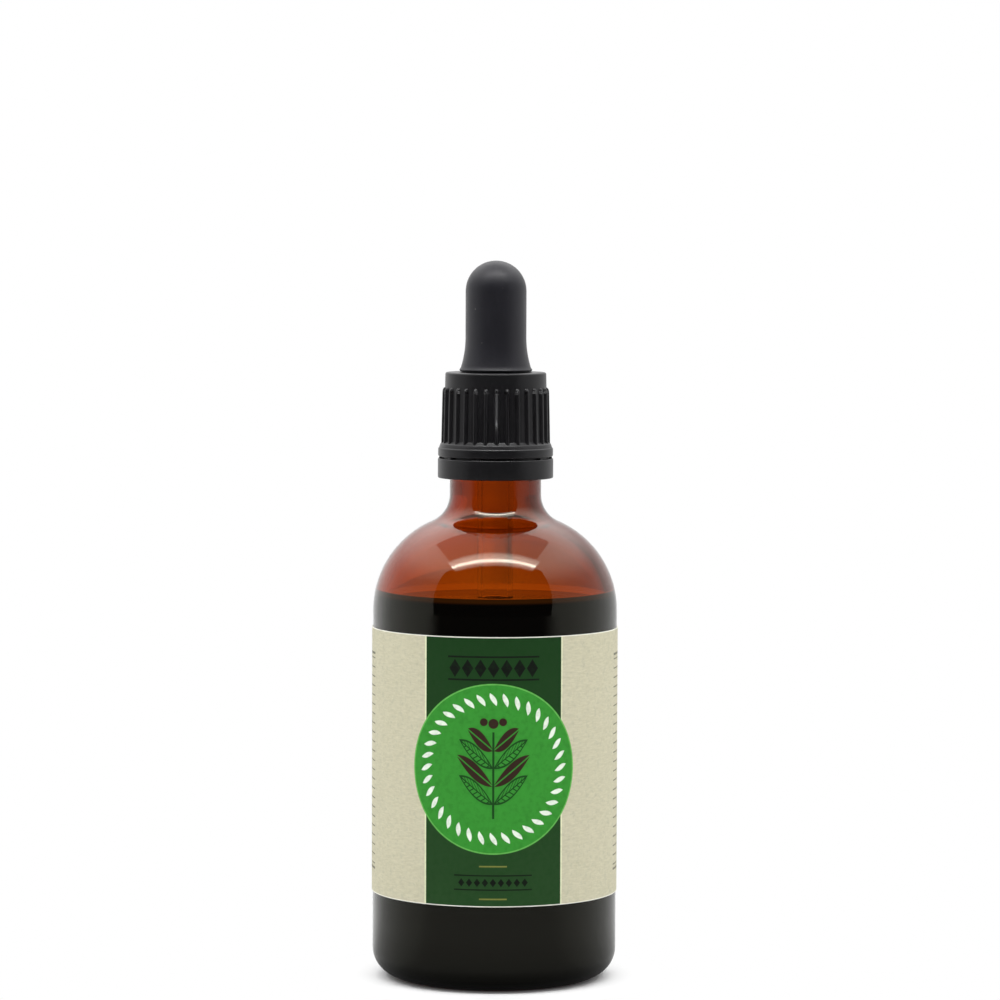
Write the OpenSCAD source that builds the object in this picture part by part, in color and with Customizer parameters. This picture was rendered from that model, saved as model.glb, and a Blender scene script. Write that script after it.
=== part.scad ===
// Dropper bottle for a dark liqueur. An amber glass bottle with a paper label wrapped round it is
// closed by a ribbed screw cap, which carries a rubber teat and a glass pipette. Millimetres, +Z up,
// with the origin at the centre of the ring that the bottle stands on. The label's front faces -Y.

/* [Bottle body] */
// Outside diameter of the body
body_d = 47; // [44:0.5:50]
// Height of the lip above the table
bottle_h = 112.9; // [106:0.1:120]
// Thickness of the glass in the side wall and shoulder
glass_wall = 2; // [1.6:0.1:2.4]
// Thickness of the glass in the base
base_wall = 3; // [2.4:0.1:4]
// Radius of the rounded heel
heel_r = 4.6; // [3.8:0.1:6]
// Radius of the domed shoulder
shoulder_r = 18.6; // [17:0.1:20]
// Width of the ring that the bottle stands on
foot_w = 3.4; // [2:0.1:5]
// Depth of the push-up inside that ring
pushup_h = 1.2; // [0.6:0.1:1.8]

/* [Bottle neck] */
// Outside diameter of the neck below the locking bead
neck_d = 17.6; // [17:0.1:18]
// Length of the straight neck below the locking bead
neck_len = 5.2; // [5:0.1:9]
// Radius of the hollow curve between neck and shoulder
neck_curve_r = 5.6; // [4.6:0.1:6.6]
// Bore of the mouth
mouth_d = 10.8; // [10:0.1:11.4]
// Wider bore of the neck below the locking bead
neck_bore_d = 13; // [11.6:0.1:13.4]
// Height from the underside of the locking bead to the lip
finish_h = 14.5; // [13.6:0.1:16]
// Diameter of the locking bead that holds the tamper band
bead_d = 19.6; // [19.2:0.1:19.8]
// Height of the bead's upright face
bead_land = 1.1; // [0.8:0.1:1.4]
// Height of the slope above the bead's upright face
bead_slope = 1.1; // [0.8:0.1:1.4]
// Radius on the outer edge of the lip
lip_r = 0.8; // [0.4:0.1:1]

/* [Screw thread] */
// Diameter of the glass at the root of the thread
thread_root_d = 15.9; // [15.7:0.1:16]
// Height of the glass thread's ridge
thread_h = 0.85; // [0.6:0.05:0.9]
// Rise of the thread in one turn
thread_pitch = 3; // [3:0.1:3.2]
// Turns of the glass thread
glass_turns = 1.5; // [1:0.1:1.6]
// Turns of the cap's thread
cap_turns = 1.5; // [1:0.1:1.6]
// Depth from the lip to the middle of the thread's upper end
thread_drop = 1.9; // [1.6:0.1:2.2]

/* [Screw cap] */
// Outside diameter of the cap's smooth top
cap_top_d = 19.4; // [19.4:0.1:20]
// Thickness of the cap's top
cap_top_wall = 1.8; // [1.4:0.1:2.4]
// Height of the smooth band above the ribs
smooth_h = 2.9; // [2.2:0.1:4]
// Growth in diameter from the top of the ribbed wall to its foot
wall_draft = 0.6; // [0.3:0.1:0.9]
// Number of ribs round the cap
rib_count = 30; // [24:1:36]
// Height of a rib above the wall
rib_h = 0.52; // [0.3:0.02:0.6]
// Width of a rib at its crest
rib_crest_w = 0.4; // [0.3:0.05:0.6]
// Width of a rib at its foot
rib_foot_w = 1; // [0.8:0.05:1.2]
// Diameter of the rolled edge at the foot of the cap
edge_d = 22.1; // [21.9:0.1:23]
// Height of the rolled edge's upright face
edge_h = 1.6; // [1.2:0.1:2]
// Height from the bead's underside to the bottom of the cap
cap_over_bead = 2.1; // [1.8:0.1:2.4]

/* [Tamper band] */
// Outside diameter of the tamper band
band_d = 22.2; // [22:0.1:23]
// Height of the tamper band
band_h = 3.8; // [3.7:0.1:5]
// Slit between cap and tamper band
band_slit = 0.3; // [0.2:0.05:0.4]
// Number of snapped bridges left on the band
bridge_count = 10; // [6:1:14]
// Number of catches under the locking bead
catch_count = 12; // [8:1:14]
// Height of one catch
catch_h = 1; // [0.8:0.1:1.2]

/* [Teat] */
// Outside diameter of the bulb
bulb_d = 11.7; // [11:0.1:13]
// Height of the bulb above the cap
bulb_h = 21.4; // [19:0.1:26]
// Diameter of the bulb's spread foot
bulb_foot_d = 14; // [13.4:0.1:15]
// Height over which the bulb spreads to its foot
bulb_flare_h = 6.6; // [5:0.1:8]
// Thickness of the rubber in the bulb
teat_wall = 1.3; // [1:0.1:1.6]
// Thickness of the sealing flange between lip and cap
seal_t = 2; // [1.6:0.1:2.4]
// Diameter of the sealing flange
seal_d = 17; // [15.6:0.1:17.4]
// Diameter of the hole in the cap that the teat passes through
teat_hole_d = 11.2; // [10.6:0.1:11.8]

/* [Pipette] */
// Outside diameter of the glass tube
tube_d = 7; // [6:0.1:7.4]
// Thickness of the tube's glass
tube_wall = 1; // [0.8:0.05:1.2]
// Outside diameter of the drawn tip
tip_d = 2.6; // [2.2:0.1:3.2]
// Bore of the drawn tip
tip_bore = 1.2; // [0.8:0.1:1.6]
// Length of the drawn tip
tip_len = 10; // [7:0.5:14]
// Gap between the tip and the floor of the bottle
tip_gap = 4; // [3:0.5:12]
// Diameter of the collar that keeps the tube in the teat
collar_d = 8.4; // [7.8:0.1:8.6]

/* [Contents] */
// Height of the liquid above the table
fill_h = 73.4; // [40:0.2:80]

/* [Label] */
// Height of the label
label_h = 51; // [36:0.2:52]
// Height of the label's lower edge above the table
label_low = 16.8; // [8:0.1:18]
// Thickness of the paper
label_t = 0.14; // [0.1:0.01:0.3]
// Bare glass between the label's ends, at the back
label_gap = 4; // [2:0.5:12]
// Radius of the label's corners
label_corner_r = 2; // [1:0.1:4]

/* [Hidden] */
$fn = 96;

// Steps in a quarter turn of an outline's curve
quarter_steps = 12;
// Steps in one turn of a thread, and the angle of half a step, at which the glass thread starts
thread_steps = 30;
thread_start = 180 / thread_steps;
// Overrun of a cut past the face that it starts from
cut = 0.5;
// Running gap between pieces that slide or turn on each other
run_gap = 0.05;
// Gap between the rubber and the glass tube that it grips
grip_gap = 0.02;
// Gap between the liquid and the glass round it
wet_gap = 0.05;
// Layer of glue under the label
glue_t = 0.03;
// Overlap of two shapes that make one solid
weld = 0.05;

// Bottle, from the lip down
body_r = body_d / 2;
neck_r = neck_d / 2;
mouth_r = mouth_d / 2;
bead_r = bead_d / 2;
thread_root_r = thread_root_d / 2;
bead_z = bottle_h - finish_h;
neck_z = bead_z - neck_len;
shoulder_x = body_r - shoulder_r;
neck_curve_x = neck_r + neck_curve_r;
shoulder_tilt = acos((neck_curve_x - shoulder_x) / (shoulder_r + neck_curve_r));
shoulder_z = neck_z - (shoulder_r + neck_curve_r) * sin(shoulder_tilt);
foot_outer_r = body_r - heel_r;
foot_inner_r = foot_outer_r - foot_w;
pushup_r = arch_radius(foot_inner_r, pushup_h);

// Inside of the bottle
neck_bore_r = neck_bore_d / 2;
neck_bore_z = bead_z - (neck_bore_r - mouth_r);
mouth_low_z = bead_z + bead_land + bead_slope;
throat_curve_r = neck_curve_r + glass_wall;
throat_x = neck_bore_r + throat_curve_r;
inner_shoulder_r = shoulder_r - glass_wall;
throat_tilt = acos((throat_x - shoulder_x) / (inner_shoulder_r + throat_curve_r));
throat_z = shoulder_z + (inner_shoulder_r + throat_curve_r) * sin(throat_tilt);
mouth_edge_r = lip_r / 2;

// Threads, as ridges of a trapezoid section
glass_crest_r = thread_root_r + thread_h;
// Depth to which a ridge or a rib is sunk into the wall that carries it
ridge_embed = 0.35;
// Widths of the ridges as shares of the pitch, and the share of a turn in which an end dies away
ridge_root_w_share = 0.6;
ridge_crest_w_share = 0.3;
cap_ridge_root_w_share = 0.56;
cap_ridge_crest_w_share = 0.24;
ridge_run_in_share = 0.08;
thread_top_z = bottle_h - thread_drop;
glass_thread_z = thread_top_z - glass_turns * thread_pitch;
// Lift of the cap's ridge off the middle of the groove when the cap is tight
thread_bite = 0.2;
// The cap's ridge starts this share of a turn ahead of the bottle's
cap_thread_lead_share = 1 / 6;
cap_thread_z = glass_thread_z - thread_pitch / 2 + thread_bite - cap_thread_lead_share * thread_pitch;

// Cap, from its seat on the teat's flange
thread_gap = 0.15;
cap_bore_r = glass_crest_r + thread_gap;
cap_ridge_r = thread_root_r + thread_gap + run_gap;
cap_under_z = bottle_h + seal_t;
cap_top_z = cap_under_z + cap_top_wall;
cap_low_z = bead_z + cap_over_bead;
cap_top_r = cap_top_d / 2;
rib_top_z = cap_top_z - smooth_h;
cap_foot_r = cap_top_r + wall_draft / 2;
edge_r = edge_d / 2;
edge_top_z = cap_low_z + edge_h;
edge_slope_h = edge_r - cap_foot_r;
rib_low_z = edge_top_z + edge_slope_h / 3;
rib_point_h = 2 * rib_h;
// Angle of the rib that faces the front
rib_turn = 271;
cap_round = 0.4;
cap_edge_round = 0.35;
bead_gap = 0.4;
skirt_bore_r = bead_r + bead_gap;
skirt_top_z = bead_z + bead_land + bead_slope + bead_gap;
skirt_slope_h = skirt_bore_r - cap_bore_r;
teat_hole_r = teat_hole_d / 2;
hole_round = 0.25;

// Tamper band, under the cap
band_r = band_d / 2;
band_top_z = cap_low_z - band_slit;
band_low_z = band_top_z - band_h;
band_bore_r = skirt_bore_r;
band_round = 0.25;
catch_play = 0.4;
catch_r = neck_r + catch_play;
catch_top_z = bead_z - catch_play;
catch_share = 0.7;
bridge_w = 0.8;
bridge_t = 0.6;

// Teat
bulb_r = bulb_d / 2;
bulb_foot_r = bulb_foot_d / 2;
bulb_foot_z = cap_top_z + 2 * run_gap;
bulb_foot_round = 0.4;
bulb_top_z = cap_top_z + bulb_h;
bulb_dome_z = bulb_top_z - bulb_r;
bulb_flare_z = bulb_foot_z + bulb_flare_h;
bulb_bore_r = bulb_r - teat_wall;
seal_r = seal_d / 2;
seal_round = 0.3;
groove_r = teat_hole_r - run_gap;
grip_r = tube_d / 2 + grip_gap;
grip_top_z = bulb_foot_z + 1.5 * teat_wall;

// Pipette
tube_r = tube_d / 2;
tube_bore_r = tube_r - tube_wall;
tip_r = tip_d / 2;
tip_bore_r = tip_bore / 2;
tip_z = base_wall + pushup_h + tip_gap;
tip_top_z = tip_z + tip_len;
collar_r = collar_d / 2;
collar_rise = collar_r - tube_r;
collar_z = grip_top_z + run_gap;
collar_h = 1.4 * tube_wall;
tube_end_h = 1.2 * tube_wall;
tube_top_z = collar_z + 2 * collar_rise + collar_h + tube_end_h;
tube_round = 0.3;

// Contents
// The drawn liquid stays level while the tube rises past it, so it ends above the tube's taper
free_rise = (glass_turns + cap_thread_lead_share) * thread_pitch;
drawn_play = 0.4;
drawn_r = tube_bore_r - wet_gap;
drawn_low_z = tip_top_z + free_rise + drawn_play;
// Gap between the pipette and the liquid that it dips into
dip_gap = 0.2;

// Label
label_r = body_r + glue_t;
label_gap_angle = 2 * asin(label_gap / 2 / label_r);
// Depth by which a corner's arc runs out past the label's edges
label_corner_blend = 0.02;

// Radius of an arc that rises h over a half span s
function arch_radius(s, h) = (s * s + h * h) / (2 * h);

// Points of an arc round [x, z], from angle a to angle b
function arc(x, z, r, a, b) =
    let (n = max(2, ceil(abs(b - a) / 90 * quarter_steps)))
    [for (i = [0:n]) [x + r * cos(a + (b - a) * i / n), z + r * sin(a + (b - a) * i / n)]];

// Inside of the bottle as an outline from the axis at the floor to the axis at the lip, drawn in by inset
function cavity(inset) =
    let (
        wall_r = body_r - glass_wall,
        floor_z = base_wall + inset,
        floor_r = arch_radius(foot_inner_r, pushup_h),
        half = asin(foot_inner_r / floor_r)
    )
    concat(
        arc(0, floor_z + pushup_h - floor_r, floor_r, 90, 90 - half),
        arc(wall_r - heel_r, base_wall + heel_r, heel_r - inset, -90, 0),
        arc(shoulder_x, shoulder_z, inner_shoulder_r - inset, 0, throat_tilt),
        arc(throat_x, throat_z, throat_curve_r + inset, 180 + throat_tilt, 180),
        [
            [neck_bore_r - inset, neck_bore_z],
            [mouth_r - inset, mouth_low_z],
            [mouth_r - inset, bottle_h],
            [0, bottle_h]
        ]
    );

// Outside of the pipette as an outline from the axis at the tip to the axis at the top, grown by grow
function tube_outline(grow) = [
    [0, tip_z - grow],
    [tip_r + grow, tip_z - grow],
    [tip_r + grow, tip_z + tip_len / 4],
    [tube_r + grow, tip_top_z],
    [tube_r + grow, bottle_h],
    [0, bottle_h]
];

// A thread's ridge, from the wall at root_r to its crest at crest_r, which lies further out on a glass
// thread and further in on a cap's. Its root is sunk into the wall, and both its ends die away into it.
module ridge(root_r, crest_r, root_w, crest_w, low_z, turns) {
    side = sign(crest_r - root_r);
    n = ceil(turns * thread_steps);
    run_in = max(1, round(ridge_run_in_share * thread_steps));
    function rise(i) = min(1, i / run_in, (n - i) / run_in);
    function top_r(i) = root_r - side * ridge_embed / 2
        + rise(i) * (crest_r - root_r + side * ridge_embed / 2);
    function spot(r, dz, i) =
        let (a = 360 * i / thread_steps)
        [r * cos(a), r * sin(a), low_z + thread_pitch * i / thread_steps + dz];
    sunk_r = root_r - side * ridge_embed;
    function outward_ring(i) = [
        spot(sunk_r, -root_w / 2, i), spot(top_r(i), -crest_w / 2, i),
        spot(top_r(i), crest_w / 2, i), spot(sunk_r, root_w / 2, i)
    ];
    function inward_ring(i) = [
        spot(top_r(i), -crest_w / 2, i), spot(sunk_r, -root_w / 2, i),
        spot(sunk_r, root_w / 2, i), spot(top_r(i), crest_w / 2, i)
    ];
    points = [for (i = [0:n]) each (side > 0 ? outward_ring(i) : inward_ring(i))];
    sides = [
        for (i = [0:n - 1], j = [0:3])
            let (a = 4 * i + j, b = 4 * i + (j + 1) % 4)
            each [[a, b, b + 4], [a, b + 4, a + 4]]
    ];
    start = [[3, 2, 1], [3, 1, 0]];
    end = [[4 * n, 4 * n + 1, 4 * n + 2], [4 * n, 4 * n + 2, 4 * n + 3]];
    polyhedron(points, concat(start, sides, end));
}

module bottle() {
    outside = concat(
        arc(0, pushup_h - pushup_r, pushup_r, 90, 90 - asin(foot_inner_r / pushup_r)),
        arc(foot_outer_r, heel_r, heel_r, -90, 0),
        arc(shoulder_x, shoulder_z, shoulder_r, 0, shoulder_tilt),
        arc(neck_curve_x, neck_z, neck_curve_r, 180 + shoulder_tilt, 180),
        [
            [neck_r, bead_z],
            [bead_r, bead_z],
            [bead_r, bead_z + bead_land],
            [thread_root_r, mouth_low_z]
        ],
        arc(thread_root_r - lip_r, bottle_h - lip_r, lip_r, 0, 90),
        arc(mouth_r + mouth_edge_r, bottle_h - mouth_edge_r, mouth_edge_r, 90, 180)
    );
    inside = cavity(0);
    wall_points = [for (i = [len(inside) - 3:-1:0]) inside[i]];
    color([0.42, 0.14, 0.02, 0.6]) {
        rotate_extrude() polygon(concat(outside, wall_points));
        rotate([0, 0, thread_start])
            ridge(
                thread_root_r, glass_crest_r, ridge_root_w_share * thread_pitch,
                ridge_crest_w_share * thread_pitch, glass_thread_z, glass_turns
            );
    }
}

module liquid() {
    color([0.05, 0.03, 0.02])
        difference() {
            rotate_extrude() polygon(cavity(wet_gap));
            translate([0, 0, fill_h]) cylinder(r = body_r, h = bottle_h);
            rotate_extrude() polygon(tube_outline(dip_gap));
        }
}

module label() {
    middle_z = label_low + label_h / 2;
    color([0.8, 0.77, 0.67])
        difference() {
            rotate([0, 0, 90 + label_gap_angle / 2])
                rotate_extrude(angle = 360 - label_gap_angle)
                    translate([label_r, label_low]) square([label_t, label_h]);
            for (end = [-1, 1], rim = [-1, 1])
                translate([end * label_gap / 2, 0, middle_z + rim * label_h / 2])
                    label_corner(end, -rim);
        }
}

// What is cut off one corner of the label, with its sharp point at the origin
module label_corner(across, up) {
    rotate([-90, 0, 0])
        linear_extrude(body_d)
            difference() {
                translate([across > 0 ? -cut : -label_corner_r, up > 0 ? -label_corner_r : -cut])
                    square(label_corner_r + cut);
                translate([across * label_corner_r, -up * label_corner_r])
                    circle(label_corner_r + label_corner_blend);
            }
}

module tamper_band() {
    color([0.05, 0.05, 0.055]) {
        rotate_extrude()
            polygon(concat(
                [[band_bore_r, band_low_z]],
                arc(band_r - band_round, band_low_z + band_round, band_round, -90, 0),
                arc(band_r - band_round, band_top_z - band_round, band_round, 0, 90),
                [[band_bore_r, band_top_z]]
            ));
        for (i = [0:catch_count - 1])
            rotate([0, 0, 360 * i / catch_count]) band_catch();
        for (i = [0:bridge_count - 1])
            rotate([0, 0, 360 * i / bridge_count]) band_bridge();
    }
}

// A catch hangs inside the band and hooks under the bottle's bead
module band_catch() {
    low_z = catch_top_z - catch_h;
    rotate_extrude(angle = catch_share * 360 / catch_count)
        polygon([
            [band_bore_r + weld, low_z],
            [band_bore_r + weld, catch_top_z],
            [catch_r, catch_top_z],
            [catch_r, catch_top_z - catch_h / 2]
        ]);
}

// What is left of a bridge that joined the band to the cap before the first opening
module band_bridge() {
    height = band_slit - run_gap + band_round;
    translate([band_r - band_round - bridge_t, -bridge_w / 2, band_top_z - band_round])
        cube([bridge_t, bridge_w, height]);
}

module screw_cap() {
    color([0.05, 0.05, 0.055]) {
        rotate_extrude() polygon(cap_outline());
        cap_ribs();
        rotate([0, 0, thread_start - 360 * cap_thread_lead_share])
            ridge(
                cap_bore_r, cap_ridge_r, cap_ridge_root_w_share * thread_pitch,
                cap_ridge_crest_w_share * thread_pitch, cap_thread_z, cap_turns
            );
    }
}

function cap_outline() = concat(
    [[skirt_bore_r, cap_low_z]],
    arc(edge_r - cap_edge_round, cap_low_z + cap_edge_round, cap_edge_round, -90, 0),
    arc(edge_r - cap_edge_round, edge_top_z - cap_edge_round, cap_edge_round, 0, 60),
    [[cap_foot_r, edge_top_z + edge_slope_h / 2]],
    arc(cap_top_r - cap_round, cap_top_z - cap_round, cap_round, 0, 90),
    arc(teat_hole_r + hole_round, cap_top_z - hole_round, hole_round, 90, 180),
    [
        [teat_hole_r, cap_under_z],
        [cap_bore_r, cap_under_z],
        [cap_bore_r, skirt_top_z + skirt_slope_h],
        [skirt_bore_r, skirt_top_z]
    ]
);

// The ribs are wedges cut to a sleeve that widens towards the foot and is pointed at both ends
module cap_ribs() {
    inner_r = cap_top_r - ridge_embed;
    intersection() {
        rotate_extrude()
            polygon([
                [inner_r, rib_low_z],
                [cap_foot_r, rib_low_z],
                [cap_foot_r + rib_h, rib_low_z + rib_point_h],
                [cap_top_r + rib_h, rib_top_z - rib_point_h],
                [inner_r, rib_top_z + rib_point_h / 2]
            ]);
        for (i = [0:rib_count - 1])
            rotate([0, 0, rib_turn + 360 * i / rib_count])
                translate([0, 0, rib_low_z - rib_point_h])
                    linear_extrude(rib_top_z - rib_low_z + 2 * rib_point_h) rib_section(inner_r);
    }
}

module rib_section(inner_r) {
    outer_r = cap_foot_r + rib_h + cut;
    foot = rib_foot_w / 2;
    crest = rib_crest_w / 2;
    slope = (foot - crest) / rib_h;
    // The flanks have their stated widths midway between the top and the foot of the wall
    middle_r = (cap_top_r + cap_foot_r) / 2;
    polygon([
        [inner_r, -foot - slope * (middle_r - inner_r)],
        [middle_r + rib_h, -crest],
        [outer_r, -crest],
        [outer_r, crest],
        [middle_r + rib_h, crest],
        [inner_r, foot + slope * (middle_r - inner_r)]
    ]);
}

module teat() {
    // Spread foot of the bulb: a hollow curve that leaves the bulb upright
    flare_out = bulb_foot_r - bulb_r;
    flare_r = arch_radius(bulb_flare_h, flare_out);
    flare_angle = asin((bulb_flare_h - 2 * bulb_foot_round) / flare_r);
    outside = concat(
        arc(bulb_foot_r - bulb_foot_round, bulb_foot_z + bulb_foot_round, bulb_foot_round, -90, 0),
        arc(bulb_r + flare_r, bulb_flare_z, flare_r, 180 + flare_angle, 180),
        arc(0, bulb_dome_z, bulb_r, 0, 90)
    );
    inside = concat(
        arc(0, bulb_dome_z, bulb_bore_r, 90, 0),
        [[bulb_bore_r, grip_top_z + teat_wall / 2], [grip_r, grip_top_z], [grip_r, bottle_h + run_gap]]
    );
    flange = concat(
        arc(seal_r - seal_round, bottle_h + run_gap + seal_round, seal_round, -90, 0),
        arc(seal_r - seal_round, cap_under_z - run_gap - seal_round, seal_round, 0, 90),
        [[groove_r, cap_under_z - run_gap], [groove_r, bulb_foot_z]]
    );
    color([0.09, 0.09, 0.1]) rotate_extrude() polygon(concat(inside, flange, outside));
}

module pipette() {
    color([0.85, 0.88, 0.88, 0.35])
        rotate_extrude()
            polygon([
                [tip_bore_r, tip_z],
                [tip_r - tube_round, tip_z],
                [tip_r, tip_z + tube_round],
                [tip_r, tip_z + tip_len / 4],
                [tube_r, tip_top_z],
                [tube_r, collar_z],
                [collar_r, collar_z + collar_rise],
                [collar_r, collar_z + collar_rise + collar_h],
                [tube_r, collar_z + 2 * collar_rise + collar_h],
                [tube_r, tube_top_z - tube_round],
                [tube_r - tube_round, tube_top_z],
                [tube_bore_r, tube_top_z],
                [tube_bore_r, tip_top_z],
                [tip_bore_r, tip_z + tip_len / 4]
            ]);
}

module drawn_liquid() {
    color([0.05, 0.03, 0.02])
        translate([0, 0, drawn_low_z]) cylinder(r = drawn_r, h = fill_h - drawn_low_z);
}

bottle();
liquid();
label();
tamper_band();
screw_cap();
teat();
pipette();
drawn_liquid();
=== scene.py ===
# %% [markdown]
# # An amber dropper bottle for a dark liqueur
# The real object is a blown bottle of amber glass with a paper label round it. Its closure is a
# ribbed black screw cap over a torn tamper band, and the cap holds a rubber teat with a glass
# pipette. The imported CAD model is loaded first. It gives the bodies that move and the sizes that
# this script keeps to, so every piece below is drawn in millimetres with the same names as in the
# CAD source.

# %% Load the fixed frame
import math

import bmesh
import bpy
from mathutils import Matrix, Vector


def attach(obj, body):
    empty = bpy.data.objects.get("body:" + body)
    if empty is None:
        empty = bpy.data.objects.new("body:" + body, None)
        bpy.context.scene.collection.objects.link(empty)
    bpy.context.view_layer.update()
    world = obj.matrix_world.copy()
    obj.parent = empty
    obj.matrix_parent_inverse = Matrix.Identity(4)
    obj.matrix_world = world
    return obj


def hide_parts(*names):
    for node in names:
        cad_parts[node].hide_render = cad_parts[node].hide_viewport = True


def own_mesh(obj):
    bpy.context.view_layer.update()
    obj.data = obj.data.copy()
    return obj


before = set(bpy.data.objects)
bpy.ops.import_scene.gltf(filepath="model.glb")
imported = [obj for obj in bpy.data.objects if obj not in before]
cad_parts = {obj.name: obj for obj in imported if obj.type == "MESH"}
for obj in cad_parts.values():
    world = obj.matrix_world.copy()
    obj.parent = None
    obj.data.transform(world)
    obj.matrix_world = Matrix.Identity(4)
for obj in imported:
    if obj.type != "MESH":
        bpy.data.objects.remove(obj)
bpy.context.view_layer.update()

# %% [markdown]
# ## The camera
# A small product like this is photographed with a long lens from a little above. A long lens keeps
# the bottle's sides upright and its foot nearly level. The camera could be aimed with a Track To
# constraint, but a plain tilt is easier to read: 90 degrees looks level along +Y, and a little
# less looks down.

# %% Set up the camera
MM = 0.001
CAMERA_AWAY = 836.5
CAMERA_UP = 145.2
CAMERA_ASIDE = 0.7
CAMERA_TILT = math.radians(3.633)
CAMERA_ROLL = math.radians(-0.2)

camera_data = bpy.data.cameras.new("camera")
camera_data.sensor_width = 36
camera_data.lens = 156.8
camera_data.clip_start = 0.05
camera = bpy.data.objects.new("camera", camera_data)
camera.location = Vector((CAMERA_ASIDE, -CAMERA_AWAY, CAMERA_UP)) * MM
camera.rotation_euler = (math.pi / 2 - CAMERA_TILT, CAMERA_ROLL, 0)
bpy.context.scene.collection.objects.link(camera)
bpy.context.scene.camera = camera
bpy.context.scene.view_settings.view_transform = "Standard"
print(f"camera {CAMERA_AWAY} mm away, {CAMERA_UP} mm up, lens {camera_data.lens} mm")

# %% [markdown]
# ## A pen for turned shapes
# Nearly every piece of a dropper bottle is round, so its shape is half a cross-section turned
# about the Z axis. The half section could be typed in as a list of points. Here a small pen draws
# it with two operators instead: extruding the last vertex makes a straight line, and spinning it
# about a centre makes an arc. One more spin, through a full turn, makes the solid.

# %% A pen that draws half a cross-section
UP = (0, 0, 1)
MERGE_WITHIN = 0.0005  # millimetres
DISSOLVE_WITHIN = 0.0001


class Pen:
    """Draws an outline in the XZ plane, with radius as X, and turns it about the Z axis."""

    def __init__(self, r, z):
        self.bm = bmesh.new()
        self.start = self.tip = self.bm.verts.new((r, 0, z))

    def line(self, r, z, steps=1):
        """A straight line to radius r and height z."""
        origin = self.tip.co.copy()
        for i in range(1, steps + 1):
            self.tip = bmesh.ops.extrude_vert_indiv(self.bm, verts=[self.tip])["verts"][0]
            self.tip.co = origin.lerp(Vector((r, 0, z)), i / steps)
        return self

    def arc(self, r, z, degrees, steps):
        """An arc about the centre r, z. Positive degrees turn from +X towards +Z."""
        made = bmesh.ops.spin(
            self.bm, geom=[self.tip], cent=(r, 0, z), axis=(0, -1, 0),
            angle=math.radians(degrees), steps=steps,
        )
        self.tip = next(part for part in made["geom_last"] if isinstance(part, bmesh.types.BMVert))
        return self

    def turn(self, steps, closed=True):
        """Spins the outline through a full turn, once its ends are joined if it is a loop."""
        if closed:
            self.bm.edges.new((self.tip, self.start))
        bmesh.ops.spin(
            self.bm, geom=self.bm.verts[:] + self.bm.edges[:], cent=(0, 0, 0), axis=UP,
            angle=2 * math.pi, steps=steps, use_merge=True,
        )
        tidy(self.bm)
        return self.bm


def tidy(bm):
    """Closes seams and poles, and turns every face outwards."""
    bmesh.ops.remove_doubles(bm, verts=bm.verts, dist=MERGE_WITHIN)
    bmesh.ops.dissolve_degenerate(bm, edges=bm.edges, dist=DISSOLVE_WITHIN)
    bmesh.ops.recalc_face_normals(bm, faces=bm.faces)


def radius(vert):
    return math.hypot(vert.co.x, vert.co.y)


print("pen ready")

# %% [markdown]
# Moulded edges are never sharp. The bevel operator rounds a ring of edges once the shape is
# turned, so a helper picks the rings by their radius and height. After that, a piece is scaled
# from millimetres to metres, gets its finish, and rides on the CAD body that moves it.

# %% Helpers that round rings and finish a piece
NEAR = 0.01  # how far, in millimetres, a vertex may lie off the ring or wall that it belongs to
SHARP_FROM = math.radians(40)


def round_rings(bm, spots, width, segments=3):
    """Bevels the rings of edges that lie at the given (radius, height) spots."""
    def on(vert):
        return any(math.hypot(radius(vert) - r, vert.co.z - z) < NEAR for r, z in spots)

    edges = [edge for edge in bm.edges if all(on(vert) for vert in edge.verts)
             and abs(edge.verts[0].co.z - edge.verts[1].co.z) < NEAR]
    bmesh.ops.bevel(
        bm, geom=edges, offset=width, segments=segments, affect="EDGES", profile=0.5, material=-1,
    )


def make_piece(name, bm, finish, body, node):
    """Turns a bmesh in millimetres into a finished piece that rides on a body."""
    bmesh.ops.scale(bm, vec=(MM, MM, MM), verts=bm.verts)
    mesh = bpy.data.meshes.new(name)
    bm.to_mesh(mesh)
    bm.free()
    mesh.shade_smooth()
    mesh.set_sharp_from_angle(angle=SHARP_FROM)
    mesh.materials.append(finish)
    piece = bpy.data.objects.new(name, mesh)
    bpy.context.scene.collection.objects.link(piece)
    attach(piece, body)
    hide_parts(node)
    print(f"{name}: {len(mesh.polygons)} faces on {body}")
    return piece


# %% [markdown]
# ## Shader sums in Python
# A print or a speckle is a sum of many small masks. Wiring each Math node by hand hides the sum,
# so a wire wraps one output socket and its operators add the Math nodes. Every other node comes
# from one method, which makes the node, sets its options and then fills its sockets with numbers
# or wires.

# %% Wires and finishes
WHITE = (1.0, 1.0, 1.0)


class Wire:
    """An output socket that can be added, multiplied and compared like a number."""

    def __init__(self, finish, socket):
        self.finish = finish
        self.socket = socket

    def sum_of(self, operation, *values):
        return self.finish.node("Math", {"operation": operation}, dict(enumerate(values)))

    def __add__(self, other):
        return self.sum_of("ADD", self, other)

    def __sub__(self, other):
        return self.sum_of("SUBTRACT", self, other)

    def __rsub__(self, other):
        return self.sum_of("SUBTRACT", other, self)

    def __mul__(self, other):
        return self.sum_of("MULTIPLY", self, other)

    def __truediv__(self, other):
        return self.sum_of("DIVIDE", self, other)

    def __mod__(self, other):
        return self.sum_of("FLOORED_MODULO", self, other)

    def __neg__(self):
        return self.sum_of("MULTIPLY", self, -1)

    def __abs__(self):
        return self.sum_of("ABSOLUTE", self)

    __radd__ = __add__
    __rmul__ = __mul__

    def other(self, output):
        """Another output of the same node."""
        return Wire(self.finish, self.socket.node.outputs[output])


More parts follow.
